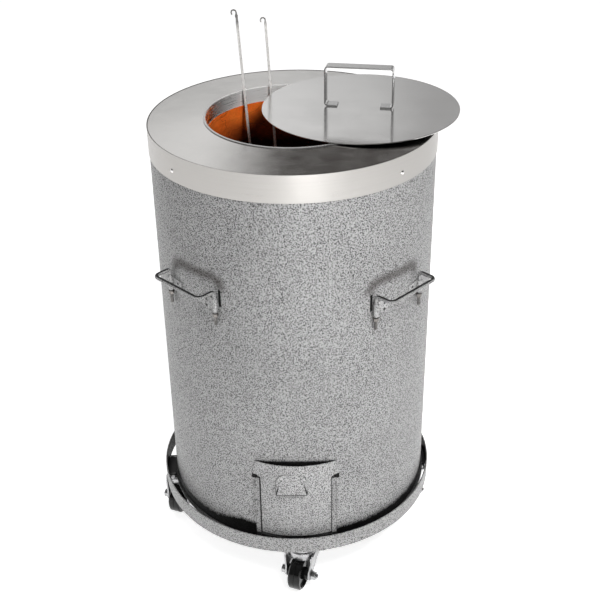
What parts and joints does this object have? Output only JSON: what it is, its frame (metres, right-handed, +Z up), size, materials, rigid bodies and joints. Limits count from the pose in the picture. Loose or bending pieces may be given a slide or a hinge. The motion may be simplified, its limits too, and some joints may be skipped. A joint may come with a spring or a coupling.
{
  "type": "charcoal tandoor",
  "caption": "Drum-shaped charcoal tandoor on a caster dolly, with a clay pot inside, a lift-off round lid, hooked skewers, carrying handles and a sliding ash door.",
  "frame": {"origin": "on the drum's axis, at the floor that the caster wheels stand on", "axes": "+Z up; -Y toward the ash door, the front; +X to the right seen from the front"},
  "size_m": [0.6546, 0.6384, 1.1421],
  "materials": {
    "hammertone": "satin",
    "dark_paint": "satin",
    "stainless_satin": "satin",
    "stainless_brushed": "satin",
    "skewer_steel": "satin",
    "rivet_steel": "polished",
    "dark_rivet": "matte",
    "zinc": "satin",
    "clay": "matte",
    "fire_slab": "matte",
    "insulation_fill": "matte",
    "cast_iron": "matte",
    "plain_sheet": "matte",
    "black_wheel": "gloss"
  },
  "bodies": {
    "oven": {"drum_shell": "hammertone", "drum_base": "hammertone", "floor_slab": "fire_slab", "insulation": "insulation_fill", "clay_pot": "clay", "charcoal_grate": "cast_iron", "ash_tunnel": "plain_sheet", "top_plate": "stainless_satin", "mouth_collar": "stainless_brushed", "top_band": "stainless_brushed", "band_rivets": "rivet_steel", "door_rail_left": "hammertone", "door_rail_right": "hammertone", "rail_rivets": "dark_rivet", "left_handle_rod": "hammertone", "right_handle_rod": "hammertone", "left_handle_clamps": "hammertone", "right_handle_clamps": "hammertone", "clamp_rivets": "dark_rivet", "handle_nuts": "zinc", "guard_ring": "hammertone", "cross_bar_long": "dark_paint", "cross_bar_left": "dark_paint", "cross_bar_right": "dark_paint", "front_caster_plate": "zinc", "right_caster_plate": "zinc", "back_caster_plate": "zinc", "left_caster_plate": "zinc", "caster_kingpins": "zinc"},
    "lid": {"lid_plate": "stainless_satin", "lid_handle": "stainless_brushed"},
    "left_skewer": {"skewer_left": "skewer_steel"},
    "right_skewer": {"skewer_right": "skewer_steel"},
    "door": {"ash_door": "hammertone"},
    "front_swivel": {"front_caster_race": "zinc", "front_caster_fork": "zinc", "front_caster_axle": "zinc"},
    "front_wheel": {"front_caster_wheel": "black_wheel"},
    "right_swivel": {"right_caster_race": "zinc", "right_caster_fork": "zinc", "right_caster_axle": "zinc"},
    "right_wheel": {"right_caster_wheel": "black_wheel"},
    "back_swivel": {"back_caster_race": "zinc", "back_caster_fork": "zinc", "back_caster_axle": "zinc"},
    "back_wheel": {"back_caster_wheel": "black_wheel"},
    "left_swivel": {"left_caster_race": "zinc", "left_caster_fork": "zinc", "left_caster_axle": "zinc"},
    "left_wheel": {"left_caster_wheel": "black_wheel"}
  },
  "joints": [
    {"name": "lid_lift", "type": "slide", "parent": "oven", "child": "lid", "axis": [0, 0, 1], "range_m": [0, 0.25]},
    {"name": "left_skewer_draw", "type": "slide", "parent": "oven", "child": "left_skewer", "axis": [-0.0781, 0.1785, 0.9808], "range_m": [0, 0.8]},
    {"name": "right_skewer_draw", "type": "slide", "parent": "oven", "child": "right_skewer", "axis": [-0.0618, 0.2063, 0.9765], "range_m": [0, 0.8]},
    {"name": "ash_door_lift", "type": "slide", "parent": "oven", "child": "door", "axis": [0, 0, 1], "range_m": [0, 0.15]},
    {"name": "front_caster_swivel", "type": "hinge", "parent": "oven", "child": "front_swivel", "pos_m": [0.01242, -0.26944, 0.1], "axis": [0, 0, 1], "continuous": true},
    {"name": "front_wheel_spin", "type": "hinge", "parent": "front_swivel", "child": "front_wheel", "pos_m": [0.00387, -0.29293, 0.0375], "axis": [0.9397, -0.342, 0], "continuous": true},
    {"name": "right_caster_swivel", "type": "hinge", "parent": "oven", "child": "right_swivel", "pos_m": [0.26444, 0.01742, 0.1], "axis": [0, 0, 1], "continuous": true},
    {"name": "right_wheel_spin", "type": "hinge", "parent": "right_swivel", "child": "right_wheel", "pos_m": [0.25589, -0.00607, 0.0375], "axis": [0.9397, -0.342, 0], "continuous": true},
    {"name": "back_caster_swivel", "type": "hinge", "parent": "oven", "child": "back_swivel", "pos_m": [-0.02242, 0.26944, 0.1], "axis": [0, 0, 1], "continuous": true},
    {"name": "back_wheel_spin", "type": "hinge", "parent": "back_swivel", "child": "back_wheel", "pos_m": [-0.03097, 0.24594, 0.0375], "axis": [0.9397, -0.342, 0], "continuous": true},
    {"name": "left_caster_swivel", "type": "hinge", "parent": "oven", "child": "left_swivel", "pos_m": [-0.27444, -0.01742, 0.1], "axis": [0, 0, 1], "continuous": true},
    {"name": "left_wheel_spin", "type": "hinge", "parent": "left_swivel", "child": "left_wheel", "pos_m": [-0.28299, -0.04092, 0.0375], "axis": [0.9397, -0.342, 0], "continuous": true}
  ]
}
